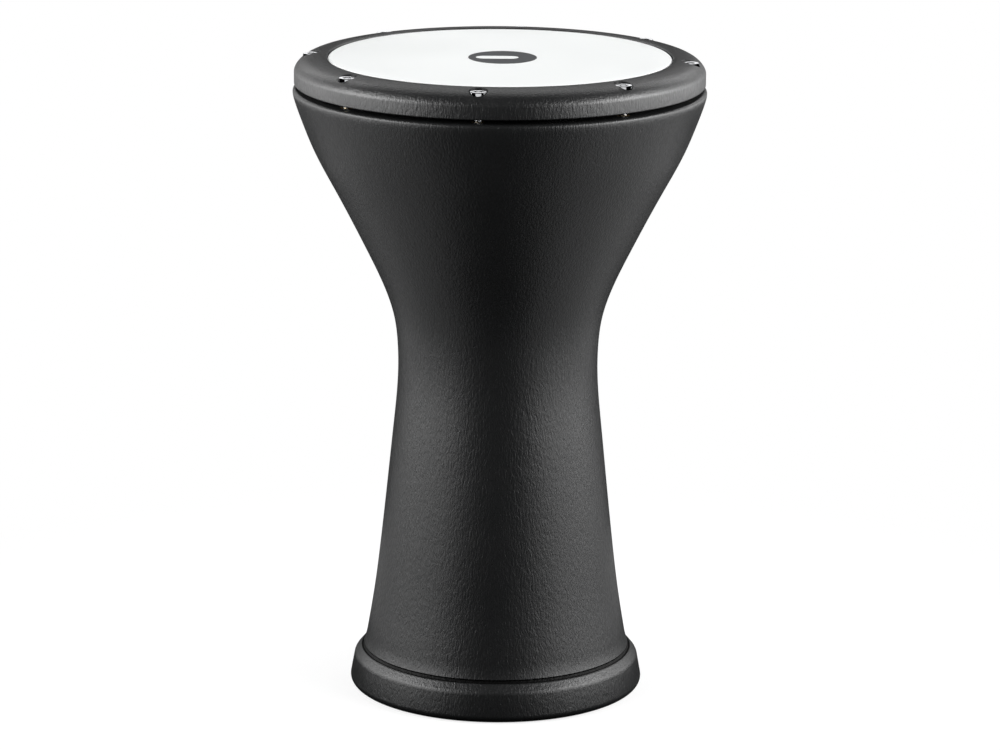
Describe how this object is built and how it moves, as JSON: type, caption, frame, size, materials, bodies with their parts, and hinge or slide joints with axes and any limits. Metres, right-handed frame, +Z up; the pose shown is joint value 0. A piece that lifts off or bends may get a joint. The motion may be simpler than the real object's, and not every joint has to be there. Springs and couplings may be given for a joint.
{
  "type": "goblet drum",
  "caption": "Goblet drum with a grained one-piece shell, a crowned tuning ring, recessed hex-socket tuning screws and a white film head.",
  "frame": {"origin": "centre of the foot's rest face, on the drum's axis", "axes": "+Z up the drum's axis to the playing surface; -Y is the front, +X is to the right seen from the front"},
  "size_m": [0.2698, 0.2698, 0.4243],
  "materials": {
    "shell_grain": "moulded leather grain, satin black",
    "ring_grain": "moulded leather grain, satin black",
    "head_white": "smooth white polyester film, satin coat",
    "hoop_metal": "mill finish",
    "resin": "cast resin",
    "emblem_ink": "printed ink",
    "screw_chrome": "bright chrome plate",
    "washer_steel": "zinc-plated steel",
    "insert_brass": "turned brass"
  },
  "bodies": {
    "shell": {"goblet_shell": "shell_grain", "head_film": "head_white", "head_emblem": "emblem_ink", "threaded_insert_1": "insert_brass", "threaded_insert_2": "insert_brass", "threaded_insert_3": "insert_brass", "threaded_insert_4": "insert_brass", "threaded_insert_5": "insert_brass", "threaded_insert_6": "insert_brass", "threaded_insert_7": "insert_brass", "threaded_insert_8": "insert_brass"},
    "ring": {"tuning_ring": "ring_grain", "head_hoop": "hoop_metal", "hoop_resin": "resin", "screw_washer_1": "washer_steel", "screw_washer_2": "washer_steel", "screw_washer_3": "washer_steel", "screw_washer_4": "washer_steel", "screw_washer_5": "washer_steel", "screw_washer_6": "washer_steel", "screw_washer_7": "washer_steel", "screw_washer_8": "washer_steel"},
    "screw_1": {"tuning_screw_1": "screw_chrome"},
    "screw_2": {"tuning_screw_2": "screw_chrome"},
    "screw_3": {"tuning_screw_3": "screw_chrome"},
    "screw_4": {"tuning_screw_4": "screw_chrome"},
    "screw_5": {"tuning_screw_5": "screw_chrome"},
    "screw_6": {"tuning_screw_6": "screw_chrome"},
    "screw_7": {"tuning_screw_7": "screw_chrome"},
    "screw_8": {"tuning_screw_8": "screw_chrome"}
  },
  "joints": [
    {"name": "ring_travel", "type": "slide", "parent": "shell", "child": "ring", "axis": [0, 0, 1], "range_m": [-0.0025, 0.002], "deforming": ["head_film"]},
    {"name": "screw_1_turn", "type": "hinge", "parent": "ring", "child": "screw_1", "pos_m": [-0.01339, -0.12327, 0.4169], "axis": [0, 0, 1], "range_deg": [-900.5, 720.5]},
    {"name": "screw_2_turn", "type": "hinge", "parent": "ring", "child": "screw_2", "pos_m": [0.0777, -0.09664, 0.4169], "axis": [0, 0, 1], "range_deg": [-900.5, 720.5]},
    {"name": "screw_3_turn", "type": "hinge", "parent": "ring", "child": "screw_3", "pos_m": [0.12327, -0.01339, 0.4169], "axis": [0, 0, 1], "range_deg": [-900.5, 720.5]},
    {"name": "screw_4_turn", "type": "hinge", "parent": "ring", "child": "screw_4", "pos_m": [0.09664, 0.0777, 0.4169], "axis": [0, 0, 1], "range_deg": [-900.5, 720.5]},
    {"name": "screw_5_turn", "type": "hinge", "parent": "ring", "child": "screw_5", "pos_m": [0.01339, 0.12327, 0.4169], "axis": [0, 0, 1], "range_deg": [-900.5, 720.5]},
    {"name": "screw_6_turn", "type": "hinge", "parent": "ring", "child": "screw_6", "pos_m": [-0.0777, 0.09664, 0.4169], "axis": [0, 0, 1], "range_deg": [-900.5, 720.5]},
    {"name": "screw_7_turn", "type": "hinge", "parent": "ring", "child": "screw_7", "pos_m": [-0.12327, 0.01339, 0.4169], "axis": [0, 0, 1], "range_deg": [-900.5, 720.5]},
    {"name": "screw_8_turn", "type": "hinge", "parent": "ring", "child": "screw_8", "pos_m": [-0.09664, -0.0777, 0.4169], "axis": [0, 0, 1], "range_deg": [-900.5, 720.5]}
  ],
  "couplings": [
    {"joint": "screw_1_turn", "follows": "ring_travel", "rad_per_m": 6283.2},
    {"joint": "screw_2_turn", "follows": "ring_travel", "rad_per_m": 6283.2},
    {"joint": "screw_3_turn", "follows": "ring_travel", "rad_per_m": 6283.2},
    {"joint": "screw_4_turn", "follows": "ring_travel", "rad_per_m": 6283.2},
    {"joint": "screw_5_turn", "follows": "ring_travel", "rad_per_m": 6283.2},
    {"joint": "screw_6_turn", "follows": "ring_travel", "rad_per_m": 6283.2},
    {"joint": "screw_7_turn", "follows": "ring_travel", "rad_per_m": 6283.2},
    {"joint": "screw_8_turn", "follows": "ring_travel", "rad_per_m": 6283.2}
  ]
}
